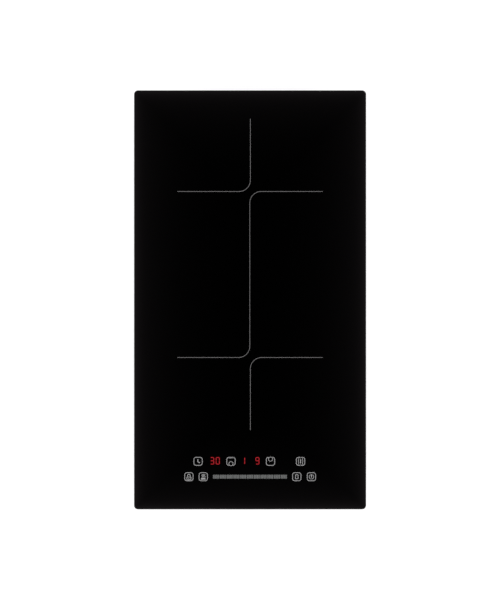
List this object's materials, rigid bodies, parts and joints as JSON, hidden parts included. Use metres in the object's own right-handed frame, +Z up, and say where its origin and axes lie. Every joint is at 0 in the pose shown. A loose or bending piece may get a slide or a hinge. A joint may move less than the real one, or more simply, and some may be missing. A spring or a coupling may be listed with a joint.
{
  "type": "induction cooktop",
  "caption": "Built-in induction cooktop: black glass bonded over a sheet-steel tray that holds spring-mounted coils, a power board, a blower, touch controls and swivelling worktop clamps.",
  "frame": {"origin": "centre of the tray's underside, which is also the bottom centre of the bounding box", "axes": "+Z up out of the glass, +Y towards the back edge of the worktop, so the touch keys and the user are at -Y; +X to the user's right"},
  "size_m": [0.288, 0.52, 0.058],
  "materials": {
    "black_glass_ceramic": "polished",
    "black_foam_seal": "matte",
    "black_silicone": "satin",
    "galvanised_steel": "satin",
    "zinc_plated_steel": "gloss",
    "spring_steel": "gloss",
    "black_carrier_plastic": "matte",
    "enamelled_copper": "satin",
    "ferrite": "matte",
    "mica_sheet": "satin",
    "white_silicone": "matte",
    "sleeved_lead": "matte",
    "aluminium_sheet": "satin",
    "extruded_aluminium": "satin",
    "green_circuit_board": "satin",
    "white_nylon": "satin",
    "black_epoxy": "satin",
    "yellow_film_box": "gloss",
    "sleeved_can": "gloss",
    "fuse_glass": "gloss",
    "tinned_brass": "gloss",
    "stator_steel": "matte",
    "ground_steel": "polished",
    "grey_plastic": "satin",
    "brown_wire": "satin",
    "display_red": "satin",
    "grey_ribbon": "satin"
  },
  "bodies": {
    "housing": {"blower_base": "black_carrier_plastic", "blower_cover": "black_carrier_plastic", "blower_stator": "stator_steel", "board_posts": "tinned_brass", "board_sockets": "white_nylon", "board_spacers": "white_nylon", "bond_bead": "black_silicone", "bottom_tray": "galvanised_steel", "cable_gland": "black_carrier_plastic", "choke_core": "ferrite", "choke_winding": "enamelled_copper", "clamp_nuts": "zinc_plated_steel", "clamp_screws": "zinc_plated_steel", "coil_plate": "aluminium_sheet", "digit_displays": "display_red", "film_capacitors": "yellow_film_box", "frame_screws": "zinc_plated_steel", "front_coil_leads": "sleeved_lead", "front_coil_springs": "spring_steel", "fuse": "fuse_glass", "glass_top": "black_glass_ceramic", "guide_screws": "zinc_plated_steel", "heat_sink": "extruded_aluminium", "m3_screws": "zinc_plated_steel", "mains_wires": "brown_wire", "plate_pillars": "zinc_plated_steel", "power_board": "green_circuit_board", "power_transistors": "black_epoxy", "rear_coil_leads": "sleeved_lead", "rear_coil_springs": "spring_steel", "relay": "black_epoxy", "smoothing_capacitors": "sleeved_can", "supply_transformer": "yellow_film_box", "terminal_block": "white_nylon", "terminal_box": "grey_plastic", "terminal_screws": "tinned_brass", "touch_board": "green_circuit_board", "touch_holder": "white_nylon", "touch_pads": "black_foam_seal", "touch_ribbon": "grey_ribbon", "upper_frame": "galvanised_steel", "worktop_seal": "black_foam_seal"},
    "fan_rotor": {"impeller": "black_carrier_plastic", "rotor_magnet": "ferrite", "rotor_shaft": "ground_steel"},
    "rear_coil": {"rear_coil_carrier": "black_carrier_plastic", "rear_coil_winding": "enamelled_copper", "rear_ferrites": "ferrite", "rear_mica": "mica_sheet", "rear_heat_sensor": "white_silicone"},
    "front_coil": {"front_coil_carrier": "black_carrier_plastic", "front_coil_winding": "enamelled_copper", "front_ferrites": "ferrite", "front_mica": "mica_sheet", "front_heat_sensor": "white_silicone"},
    "clamp_front_left": {"clamp_front_left": "zinc_plated_steel"},
    "clamp_front_right": {"clamp_front_right": "zinc_plated_steel"},
    "clamp_rear_left": {"clamp_rear_left": "zinc_plated_steel"},
    "clamp_rear_right": {"clamp_rear_right": "zinc_plated_steel"},
    "terminal_lid": {"terminal_cover": "grey_plastic"}
  },
  "joints": [
    {"name": "fan_spin", "type": "hinge", "parent": "housing", "child": "fan_rotor", "pos_m": [-0.046, 0.135, 0.0138], "axis": [0, 0, 1], "continuous": true},
    {"name": "rear_coil_float", "type": "slide", "parent": "housing", "child": "rear_coil", "axis": [0, 0, 1], "range_m": [-0.002, 0], "stiffness_N_per_m": 7500, "springref_m": 0.0035, "deforming": ["rear_coil_springs", "rear_coil_leads"]},
    {"name": "front_coil_float", "type": "slide", "parent": "housing", "child": "front_coil", "axis": [0, 0, 1], "range_m": [-0.002, 0], "stiffness_N_per_m": 7500, "springref_m": 0.0035, "deforming": ["front_coil_springs", "front_coil_leads"]},
    {"name": "clamp_front_left_swing", "type": "hinge", "parent": "housing", "child": "clamp_front_left", "pos_m": [-0.12, -0.232, 0.0182], "axis": [0, 0, 1], "range_deg": [0, 90]},
    {"name": "clamp_front_right_swing", "type": "hinge", "parent": "housing", "child": "clamp_front_right", "pos_m": [0.12, -0.232, 0.0182], "axis": [0, 0, -1], "range_deg": [0, 90]},
    {"name": "clamp_rear_left_swing", "type": "hinge", "parent": "housing", "child": "clamp_rear_left", "pos_m": [-0.12, 0.232, 0.0182], "axis": [0, 0, -1], "range_deg": [0, 90]},
    {"name": "clamp_rear_right_swing", "type": "hinge", "parent": "housing", "child": "clamp_rear_right", "pos_m": [0.12, 0.232, 0.0182], "axis": [0, 0, 1], "range_deg": [0, 90]},
    {"name": "terminal_cover_hinge", "type": "hinge", "parent": "housing", "child": "terminal_lid", "pos_m": [0.053, 0.1958, 0.0024], "axis": [-1, 0, 0], "range_deg": [0, 95]}
  ]
}
